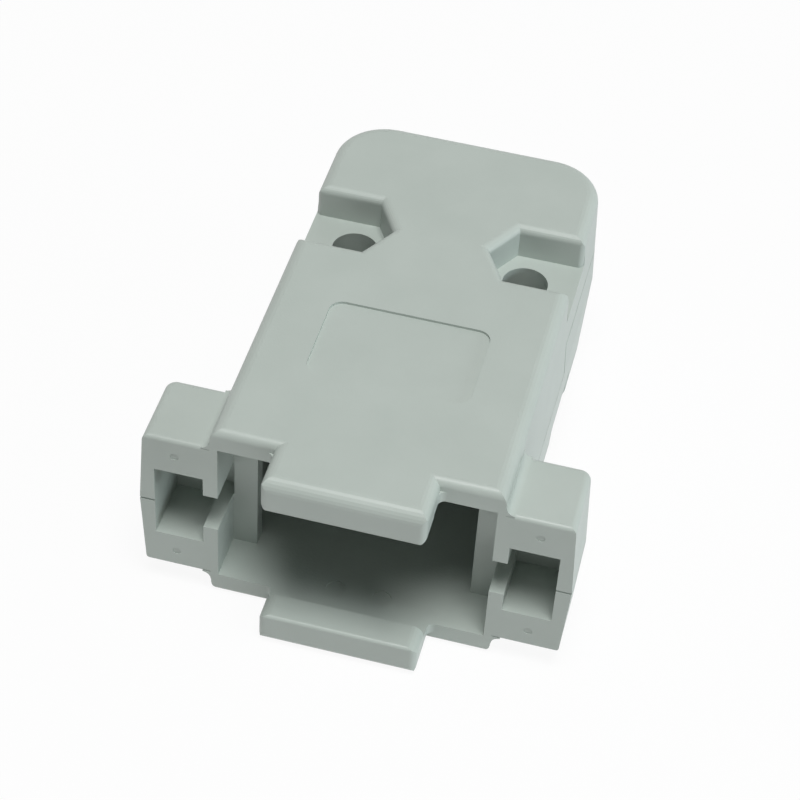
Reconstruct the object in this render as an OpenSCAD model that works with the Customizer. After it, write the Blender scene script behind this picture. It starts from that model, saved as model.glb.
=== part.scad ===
// Two-shell hood for a nine-way D connector.
// The shells are the same moulding, turned half round the cable axis, and meet on a stepped parting line.

/* [Connector end] */
// Distance between the two jackscrews
screw_pitch = 25; // [24.8:0.1:25.2]
// Width over both ears, at the parting line
ear_span = 30.7; // [30.4:0.1:32]
// Height of the ears
ear_h = 12.7; // [12.2:0.1:13]
// Length of the ears, front to back
ear_l = 6.1; // [5.6:0.1:7]
// Width of the jackscrew pockets
pocket_w = 3.5; // [3:0.1:3.6]
// Height of the jackscrew pockets
pocket_h = 6.4; // [5:0.1:7]
// Height of the open gap between each pocket and the socket
pocket_gap = 3.2; // [2:0.1:4.4]
// Width of the socket that takes the connector
socket_w = 19.4; // [19:0.1:19.6]
// Depth of the socket, to the corner posts that stop the connector
socket_l = 3.6; // [3:0.1:4.2]
// Hole for a jackscrew
jack_d = 3.4; // [3:0.1:3.5]

/* [Body] */
// Width of the body at the parting line
body_w = 21.2; // [21:0.1:22]
// Length of the body, front face to rear face
body_l = 36.1; // [35:0.1:42]
// Height of the body, both shells together
body_h = 16.3; // [16:0.1:18]
// Radius of the two rear corners
corner_r = 4.4; // [3:0.1:5]
// Radius along the outer edges
edge_r = 0.9; // [0.4:0.1:1.2]
// Radius along the front edge and the edges of the nut pockets
rim_r = 0.6; // [0.3:0.1:0.8]
// Thickness of the side walls
wall = 1; // [0.8:0.1:1.1]
// Thickness of the roof and the floor
roof = 1.8; // [1.6:0.1:2.4]
// Draft of the moulded walls, in degrees
draft = 3; // [1:0.5:4]
// How far the parting line steps up and down behind the case screws
step_h = 2.9; // [1:0.1:3]

/* [Tabs] */
// Width of the tab that reaches over the connector
tab_w = 11.4; // [9:0.1:12]
// Reach of the tab in front of the ears
tab_l = 3.5; // [3:0.1:5]
// Gap between the lips of the two tabs
lip_gap = 10.7; // [9.4:0.1:11.4]
// Slot behind each lip, for the connector's flange
flange_slot = 1.4; // [1:0.1:1.6]

/* [Case screws] */
// Distance between the two case screws
post_pitch = 13; // [12.6:0.2:13.4]
// Distance of the case screws behind the front face
post_y = 23.8; // [23:0.1:24]
// Hole for a case screw
case_d = 3.4; // [3:0.1:3.6]
// Width of the nut pocket across its flats
nut_af = 5.8; // [5.6:0.1:6]
// Depth of the nut pocket
nut_deep = 2.7; // [2:0.1:3]

/* [Label] */
// Width of the shallow label field
label_w = 11.7; // [8:0.1:14]
// Length of the label field
label_l = 7.6; // [5:0.1:10]
// Distance of the label field's front edge behind the front face
label_y = 7.4; // [5:0.1:8]
// Depth of the label field
label_deep = 0.2; // [0.1:0.05:0.4]

/* [Cable exit] */
// Hole for the cable in the rear face
cable_d = 8; // [6:0.1:9]
// Bore of the closed clamp
grip_d = 5.5; // [4:0.1:6]
// Thickness of the clamp strips
strip_t = 0.8; // [0.6:0.1:1]
// Width of the clamp strips, along the cable
strip_w = 3.8; // [3:0.1:4]

/* [Hidden] */

hood_grey = [0.70, 0.71, 0.68];
zinc = [0.78, 0.79, 0.80];

half_h = body_h / 2;
ear_half_h = ear_h / 2;
room_h = half_h - roof;             // half height of the hollow
room_w = body_w - 2 * wall;         // width of the hollow
pocket_l = ear_l - 1.4;             // the ears keep a back wall behind their pockets
step_y = post_y - nut_af / 2;       // the parting line steps at the nut pockets
nut_x = post_pitch / 2 + 0.5;       // the nut pockets stand a little outside their holes
tongue = 0.6;                       // height of the tongue inside the side walls
clear = 0.2;                        // gap at pieces that drop into the shells
stop_x = 7.9;                       // inner face of the corner posts that stop the connector
stop_t = 1.2;
clamp_y = 28.4;                     // front edge of the clamp strips
clamp_x = 5.8;                      // clamp screws, either side of the cable
clamp_half = 9.2;                   // half length of a strip
arc_n = 6;                          // straight pieces in a quarter round
far = 60;

// ---------- helpers ----------

// Stands a front-view outline (x, z) up and runs it back along Y.
module along_y(len) {
    rotate([90, 0, 0]) translate([0, 0, -len]) linear_extrude(len) children();
}

// Stands a side-view outline (y, z) up and runs it along X, centred.
module along_x(len) {
    rotate([90, 0, 90]) translate([0, 0, -len / 2]) linear_extrude(len) children();
}

module both_sides() {
    children();
    mirror([1, 0, 0]) children();
}

// Points of an arc round a centre.
function arc(c, r, from, to) = [for (i = [0:arc_n]) let (a = from + (to - from) * i / arc_n)
    [c[0] + r * cos(a), c[1] + r * sin(a)]];

// Edge of a moulded wall in section: out to the parting line at reach, drafted up to a round top edge.
function wall_line(reach, half, r) = let (z = half - r, x = reach - r / cos(draft) - z * tan(draft))
    arc([x, z], r, draft, 90);

function flip_z(points) = [for (i = [len(points) - 1:-1:0]) [points[i][0], -points[i][1]]];

// Block with drafted walls, round outer edges and round rear corners. Its front face is flat, at y = 0.
// One section, from the centre of a rear corner outwards, makes the sides, the rear and both corners.
module moulded_block(w, l, h, corner, edge) {
    x = w / 2 - corner;
    y = l - corner;
    top = wall_line(corner, h / 2, edge);
    section = concat([[0, -h / 2]], flip_z(top), [[corner, 0]], top, [[0, h / 2]]);
    translate([-x, 0, -h / 2]) cube([2 * x, y, h]);
    translate([0, y, 0]) along_x(2 * x) polygon(section);
    both_sides() translate([x, 0, 0]) {
        along_y(y) polygon(section);
        translate([0, y, 0]) rotate_extrude($fn = 64) polygon(section);
    }
}

// Bar along X that rounds an edge over when it is cut away; the edge runs through the origin.
module round_over(len, r) {
    along_x(len) difference() {
        translate([-1, -r]) square(r + 1);
        translate([r, -r]) circle(r, $fn = 48);
    }
}

// ---------- outer form, both shells together ----------

// Rectangle from (x0, y0) to (x1, y1) with round corners.
module round_rect(x0, y0, x1, y1, r) {
    polygon(concat(arc([x1 - r, y0 + r], r, -90, 0), arc([x1 - r, y1 - r], r, 0, 90),
                   arc([x0 + r, y1 - r], r, 90, 180), arc([x0 + r, y0 + r], r, 180, 270)));
}

// Tab over the connector: its lip hooks down in front of the flange slot.
module tab() {
    front = -tab_l;
    lip = lip_gap / 2;
    side = tab_w / 2;
    lip_r = 0.25;
    intersection() {
        along_x(tab_w + 1) polygon(concat(
            [[edge_r + 1, half_h]],
            arc([front + edge_r, half_h - edge_r], edge_r, 90, 180),
            arc([front + lip_r, lip + lip_r], lip_r, 180, 270),
            [[-flange_slot, lip], [-flange_slot, room_h], [edge_r + 1, room_h]]));
        translate([0, front - 1, 0]) along_y(tab_l + edge_r + 3) round_rect(-side, lip, side, half_h, 0.8);
        linear_extrude(half_h + 1) round_rect(-side, front, side, tab_l, 0.5);
    }
}

// Soft inside corners where the sides of the tab meet the front of the body.
module tab_fillets(r) {
    both_sides() translate([tab_w / 2 - 0.1, -r, room_h]) linear_extrude(roof - edge_r) difference() {
        square([r + 0.1, r + 0.1]);
        translate([r + 0.1, 0]) circle(r, $fn = 48);
    }
}

// Soft inside corner along the foot of the body wall, on top of each ear.
module ear_fillet(r) {
    x = body_w / 2 - ear_half_h * tan(draft) - 0.1;
    translate([x, 0, ear_half_h - 0.1]) along_y(ear_l - 0.4) difference() {
        square(r + 0.1);
        translate([r + 0.1, r + 0.1]) circle(r, $fn = 48);
    }
}

module outer_form() {
    difference() {
        moulded_block(body_w, body_l, body_h, corner_r, edge_r);
        translate([0, 0, half_h]) round_over(far, rim_r);
    }
    difference() {
        moulded_block(ear_span, ear_l, ear_h, 1.1, 0.5);
        translate([0, 0, ear_half_h]) round_over(far, 0.3);
    }
    both_sides() ear_fillet(0.6);
    tab();
    tab_fillets(0.5);
}

// ---------- one shell ----------

// Everything above the parting line, which steps behind the case screws: up on the right, down on the left.
module above_parting() {
    translate([-far, -far, 0]) cube([2 * far, far + step_y, far]);
    translate([0, step_y, step_h]) cube(far);
    translate([-far, step_y, -step_h]) cube(far);
}

// What one flat of a nut leaves free on its inner side, with the top face at z = 0. Its rim is rounded.
module inside_flat() {
    half = nut_af / 2;
    along_x(2 * far) polygon(concat(
        [[-far, -half_h], [half, -half_h]],
        arc([half + rim_r, -rim_r], rim_r, 180, 90),
        [[half + rim_r, 1], [-far, 1]]));
}

// Nut pocket on the centre of its hexagon, with the top face at z = 0. It opens to the side of the body.
module nut_void() {
    r = 0.4;
    mouth = body_w / 2 - nut_x - 0.75;
    intersection() {
        intersection_for (a = [0:60:180]) rotate(a) inside_flat();
        translate([-far, -far, -nut_deep]) cube(2 * far);
    }
    // round corners of the mouth
    for (s = [0, 1]) mirror([0, s, 0]) translate([mouth, nut_af / 2, -nut_deep]) linear_extrude(far)
        difference() {
            translate([0, -0.1]) square([far, r + 0.1]);
            translate([0, r]) circle(r, $fn = 48);
        }
}

// Walls and floor that stand round a nut pocket inside the shell.
module nut_tub() {
    margin = 1;
    across = nut_af + 2 * margin;
    vertex = across / sqrt(3);
    floor_z = half_h - nut_deep - 1.2;
    translate([0, 0, floor_z]) linear_extrude(half_h - 0.5 - floor_z)
        polygon([[far, across / 2], [-vertex / 2, across / 2], [-vertex, 0], [-vertex / 2, -across / 2],
                 [far, -across / 2]]);
}

// Hollow for the connector and the wires, or what fits into it with a gap at the walls.
module room(gap = 0) {
    w = room_w - 2 * gap;
    translate([0, -1, 0]) moulded_block(w, body_l - wall - gap + 1, 2 * room_h, corner_r - wall - gap, 0.5);
}

// The walls of this shell, short of their outer skin.
module own_walls() {
    skin = 0.5;
    intersection() {
        moulded_block(body_w - 2 * skin, body_l - skin, body_h - 2 * skin, corner_r - skin, skin);
        above_parting();
    }
}

// Walls, floors and posts that stand in the hollow, in both shells.
module inside() {
    rib_d = 1;
    both_sides() {
        // corner post behind the socket
        translate([stop_x, socket_l, 0]) cube([room_w / 2 - stop_x + 0.3, stop_t, room_h + 0.5]);
        // tub round the nut pocket, and the post of the case screw under it
        intersection() {
            translate([nut_x, post_y, 0]) nut_tub();
            cube([body_w / 2 - 0.6, far, half_h]);
        }
        translate([post_pitch / 2, post_y, 0]) cylinder(h = half_h - 1, r = 2.8, $fn = 64);
        // ledge that holds the ends of the clamp strips
        translate([clamp_x + 2.4, clamp_y - 0.6, strip_t]) cube([2, strip_w + 1.2, room_h]);
    }
    // two ribs, either side of the clamp, open for the cable
    for (y = [clamp_y - clear - rib_d, clamp_y + strip_w + clear]) difference() {
        translate([-room_w / 2, y, 0]) cube([room_w, rib_d, room_h + 0.5]);
        translate([0, y - 1, 0]) along_y(rib_d + 2) circle(d = cable_d, $fn = 64);
    }
}

// Pocket for a jackscrew's head, its gap into the socket, and the hole for the screw behind it.
module jack_pocket() {
    x = (screw_pitch - pocket_w) / 2;
    translate([x, -1, -1]) cube([pocket_w, pocket_l + 1, pocket_h / 2 + 1]);
    translate([socket_w / 2 - 0.1, -1, -1]) cube([x - socket_w / 2 + 0.2, pocket_l + 1, pocket_gap / 2 + 1]);
    translate([screw_pitch / 2, 0, 0]) along_y(ear_l + 1) circle(d = jack_d, $fn = 64);
}

// Witness marks of the ejector pins, on the front of the ears and on the inside of the roof.
module ejector_marks() {
    both_sides() translate([screw_pitch / 2 + 0.25, -0.1, 4.8]) along_y(0.16) circle(0.3, $fn = 32);
    for (x = [-2, 1.35]) translate([x, 1.2, room_h - 0.1]) cylinder(h = 0.18, r = 0.7, $fn = 48);
}

// Fine groove along the parting line, where the edges of the two shells are broken.
module seam() {
    groove = 0.08;
    difference() {
        above_parting();
        intersection() {
            translate([0, 0, groove]) above_parting();
            translate([0, groove, 0]) above_parting();
            translate([0, -groove, 0]) above_parting();
        }
        translate([0, groove, 0]) {
            moulded_block(body_w - 2 * groove, body_l - 2 * groove, body_h, corner_r - groove, edge_r);
            moulded_block(ear_span - 2 * groove, ear_l - 2 * groove, ear_h, 1.1 - groove, 0.5);
        }
    }
}

// Tongue on the inner half of one side wall; up is its height above the parting line, or its depth
// below the parting line where it is negative.
module tongue_bar(t, up) {
    x = room_w / 2 - 0.05;
    z = up > 0 ? -up : 0;
    root = up > 0 ? 0.5 : 0;
    translate([x, ear_l + 1, z]) cube([t, step_y - ear_l - 2, abs(up) + root]);
}

// Upper shell, with the parting line at z = 0 and the front faces of the ears at y = 0.
module shell() {
    difference() {
        union() {
            intersection() {
                difference() { outer_form(); room(); }
                above_parting();
            }
            intersection() {
                inside();
                union() { own_walls(); room(clear); }
            }
            tongue_bar(0.45, tongue);
        }
        translate([-socket_w / 2, -1, -1]) cube([socket_w, socket_l + 1, room_h + 1]);
        both_sides() {
            jack_pocket();
            translate([nut_x, post_y, half_h]) nut_void();
            translate([post_pitch / 2, post_y, -1]) cylinder(h = far, d = case_d, $fn = 64);
        }
        ejector_marks();
        seam();
        translate([0, body_l - 4, 0]) along_y(5) circle(d = cable_d, $fn = 96);
        translate([0, label_y, half_h - label_deep]) linear_extrude(1)
            round_rect(-label_w / 2, 0, label_w / 2, label_l, 1);
        // groove that takes the other shell's tongue
        mirror([1, 0, 0]) tongue_bar(0.6, -tongue - 0.1);
    }
}

module upper_shell() { color(hood_grey) shell(); }

module lower_shell() { color(hood_grey) rotate([0, 180, 0]) shell(); }

// ---------- cable clamp ----------

// Steel strip pressed to a saddle over the cable, with a flat end each side for its screw.
module saddle() {
    difference() {
        translate([0, clamp_y, 0]) along_y(strip_w) difference() {
            union() {
                circle(d = grip_d + 2 * strip_t, $fn = 64);
                translate([-clamp_half, 0]) square([2 * clamp_half, strip_t]);
            }
            circle(d = grip_d, $fn = 64);
            translate([-far, -far]) square([2 * far, far]);
        }
        both_sides() translate([clamp_x, clamp_y + strip_w / 2, -1]) cylinder(h = 3, d = 2.6, $fn = 48);
    }
}

module clamp_upper() { color(zinc) saddle(); }

module clamp_lower() { color(zinc) mirror([0, 0, 1]) saddle(); }

// Pan-head screw through both strips, from above.
module clamp_screw() {
    head_h = 1.6;
    translate([0, clamp_y + strip_w / 2, strip_t]) difference() {
        union() {
            cylinder(h = head_h, d = 4, $fn = 48);
            translate([0, 0, -4.5]) cylinder(h = 4.6, d = 2.4, $fn = 48);
        }
        translate([-0.35, -3, head_h - 0.7]) cube([0.7, 6, 1]);
    }
}

module clamp_screw_left() { color(zinc) translate([-clamp_x, 0, 0]) clamp_screw(); }

module clamp_screw_right() { color(zinc) translate([clamp_x, 0, 0]) clamp_screw(); }

// ---------- the part, resting on its lower face, over the middle of its outline ----------

module stand() {
    translate([0, (tab_l - body_l) / 2, half_h]) children();
}

stand() upper_shell();
stand() lower_shell();
stand() clamp_upper();
stand() clamp_lower();
stand() clamp_screw_left();
stand() clamp_screw_right();
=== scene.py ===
"""Looks of the d-sub hood: grained grey plastic shells and a zinc-plated cable clamp, on a white table."""

import math

import bpy
from mathutils import Matrix, Vector

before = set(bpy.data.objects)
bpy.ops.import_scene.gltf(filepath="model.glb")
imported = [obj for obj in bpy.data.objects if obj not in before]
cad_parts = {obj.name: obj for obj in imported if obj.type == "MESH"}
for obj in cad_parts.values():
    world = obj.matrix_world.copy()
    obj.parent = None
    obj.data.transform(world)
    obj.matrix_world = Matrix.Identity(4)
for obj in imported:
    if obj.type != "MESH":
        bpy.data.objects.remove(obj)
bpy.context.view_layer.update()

MM = 0.001

# Camera: it aims at a point on the parting line, and its distance and lens give the perspective.
AIM = Vector((-0.40, -1.66, 8.15)) * MM
AZIMUTH = math.radians(11.49)
ELEVATION = math.radians(44.71)
ROLL = math.radians(4.05)
DISTANCE = 167.86 * MM
LENS = 103.4

# Light that the white surroundings give.
AMBIENT = 0.10


# ---------- node helpers ----------


def new_material(name):
    """Material with a Principled shader, and its node tree's add and link calls."""
    material = bpy.data.materials.new(name)
    material.use_nodes = True
    tree = material.node_tree
    shader = next(n for n in tree.nodes if n.type == "BSDF_PRINCIPLED")

    def add(kind, **values):
        node = tree.nodes.new(kind)
        for key, value in values.items():
            setattr(node, key, value)
        return node

    return material, shader, add, tree.links.new


def noise(add, link, place, scale, detail=2.0, roughness=0.5):
    """Noise texture in object coordinates; scale is in features a metre."""
    node = add("ShaderNodeTexNoise")
    node.inputs["Scale"].default_value = scale
    node.inputs["Detail"].default_value = detail
    node.inputs["Roughness"].default_value = roughness
    link(place.outputs["Object"], node.inputs["Vector"])
    return node.outputs["Fac"]


def ramp(add, link, value, *stops):
    """Colour ramp through stops of (position, colour)."""
    node = add("ShaderNodeValToRGB")
    points = node.color_ramp.elements
    while len(points) < len(stops):
        points.new(0.5)
    for point, (position, colour) in zip(points, stops):
        point.position = position
        point.color = (*colour, 1.0)
    link(value, node.inputs["Fac"])
    return node.outputs["Color"]


# ---------- materials ----------


def hood_plastic():
    """Grey plastic with a fine moulded grain and a faint cloudiness."""
    material, shader, add, link = new_material("hood_plastic")
    place = add("ShaderNodeTexCoord")
    clouds = noise(add, link, place, 260, detail=3)
    colour = ramp(add, link, clouds, (0.3, (0.405, 0.455, 0.420)), (0.7, (0.425, 0.475, 0.440)))
    link(colour, shader.inputs["Base Color"])
    shader.inputs["Roughness"].default_value = 0.42
    grain = noise(add, link, place, 5500, detail=2)
    bump = add("ShaderNodeBump")
    bump.inputs["Strength"].default_value = 0.25
    bump.inputs["Distance"].default_value = 0.03 * MM
    link(grain, bump.inputs["Height"])
    link(bump.outputs["Normal"], shader.inputs["Normal"])
    return material


def zinc(name, tint):
    """Zinc-plated steel, slightly mottled."""
    material, shader, add, link = new_material(name)
    place = add("ShaderNodeTexCoord")
    mottle = noise(add, link, place, 900, detail=3)
    dark = tuple(0.85 * c for c in tint)
    link(ramp(add, link, mottle, (0.35, dark), (0.65, tint)), shader.inputs["Base Color"])
    shader.inputs["Metallic"].default_value = 1.0
    rough = add("ShaderNodeMapRange")
    rough.inputs["To Min"].default_value = 0.28
    rough.inputs["To Max"].default_value = 0.42
    link(mottle, rough.inputs["Value"])
    link(rough.outputs["Result"], shader.inputs["Roughness"])
    return material


def direct(add, link):
    """1 for rays from the camera, in reflections and through clear matter, and 0 for the light that surfaces get."""
    path = add("ShaderNodeLightPath")
    value = path.outputs["Is Camera Ray"]
    for kind in ("Is Glossy Ray", "Is Transmission Ray"):
        either = add("ShaderNodeMath", operation="MAXIMUM")
        link(value, either.inputs[0])
        link(path.outputs[kind], either.inputs[1])
        value = either.outputs[0]
    return value


def table_white():
    """White table: near white to the camera and in reflections, and a pale matt surface to all other light."""
    material, shader, add, link = new_material("table_white")
    shader.inputs["Base Color"].default_value = (0.8, 0.8, 0.8, 1.0)
    shader.inputs["Roughness"].default_value = 0.9
    glow = add("ShaderNodeEmission")
    share = add("ShaderNodeMath", operation="MULTIPLY_ADD")
    share.inputs[1].default_value = 0.78
    share.inputs[2].default_value = 0.14
    mix = add("ShaderNodeMixShader")
    link(direct(add, link), share.inputs[0])
    link(share.outputs[0], mix.inputs["Fac"])
    link(shader.outputs[0], mix.inputs[1])
    link(glow.outputs[0], mix.inputs[2])
    output = next(n for n in material.node_tree.nodes if n.type == "OUTPUT_MATERIAL")
    link(mix.outputs[0], output.inputs["Surface"])
    return material


def dress(node, material):
    """Puts a material on a node of the frame."""
    mesh = bpy.data.objects[node].data
    for i in range(len(mesh.materials)):
        mesh.materials[i] = material
    if not mesh.materials:
        mesh.materials.append(material)


# ---------- stage ----------


def camera():
    back = Vector((
        math.sin(AZIMUTH) * math.cos(ELEVATION),
        -math.cos(AZIMUTH) * math.cos(ELEVATION),
        math.sin(ELEVATION),
    ))
    level = Vector((0, 0, 1)).cross(back).normalized()
    turn = Matrix.Rotation(ROLL, 3, back)
    right = turn @ level
    up = back.cross(right)
    data = bpy.data.cameras.new("camera")
    data.lens = LENS
    data.clip_start = 0.001
    eye = bpy.data.objects.new("camera", data)
    eye.rotation_mode = "QUATERNION"
    eye.rotation_quaternion = Matrix((right, up, back)).transposed().to_quaternion()
    eye.location = AIM + back * DISTANCE
    bpy.context.scene.collection.objects.link(eye)
    bpy.context.scene.camera = eye


def floor():
    size = 3.0
    mesh = bpy.data.meshes.new("floor")
    corners = [(-size, -size, 0), (size, -size, 0), (size, size, 0), (-size, size, 0)]
    mesh.from_pydata(corners, [], [(0, 1, 2, 3)])
    mesh.materials.append(table_white())
    plate = bpy.data.objects.new("floor", mesh)
    bpy.context.scene.collection.objects.link(plate)


def soft_light(name, place, size, power, colour=(1.0, 1.0, 1.0)):
    """Square lamp aimed at the hood."""
    data = bpy.data.lights.new(name, "AREA")
    data.size = size
    data.energy = power
    data.color = colour
    lamp = bpy.data.objects.new(name, data)
    lamp.location = place
    lamp.rotation_mode = "QUATERNION"
    lamp.rotation_quaternion = Vector(place).to_track_quat("Z", "Y")
    bpy.context.scene.collection.objects.link(lamp)


def studio():
    """White surroundings that give little light themselves, a lamp overhead and a weak one at the right side."""
    world = bpy.data.worlds.new("studio")
    world.use_nodes = True
    tree = world.node_tree
    background = tree.nodes["Background"]
    background.inputs["Color"].default_value = (1, 1, 1, 1)
    strength = tree.nodes.new("ShaderNodeMapRange")
    strength.inputs["To Min"].default_value = AMBIENT
    strength.inputs["To Max"].default_value = 1.0

    def add(kind, **values):
        node = tree.nodes.new(kind)
        for key, value in values.items():
            setattr(node, key, value)
        return node

    tree.links.new(direct(add, tree.links.new), strength.inputs["Value"])
    tree.links.new(strength.outputs["Result"], background.inputs["Strength"])
    bpy.context.scene.world = world
    soft_light("key", (0.06, -0.12, 0.59), 0.25, 3.2)
    soft_light("right", (0.50, -0.05, 0.08), 0.15, 1.0, (0.85, 0.95, 1.0))


grey = hood_plastic()
dress("upper_shell", grey)
dress("lower_shell", grey)
steel = zinc("clamp_steel", (0.66, 0.66, 0.65))
dress("clamp_upper", steel)
dress("clamp_lower", steel)
screw = zinc("screw_steel", (0.72, 0.72, 0.70))
dress("clamp_screw_left", screw)
dress("clamp_screw_right", screw)

camera()
floor()
studio()
bpy.context.scene.view_settings.view_transform = "Standard"
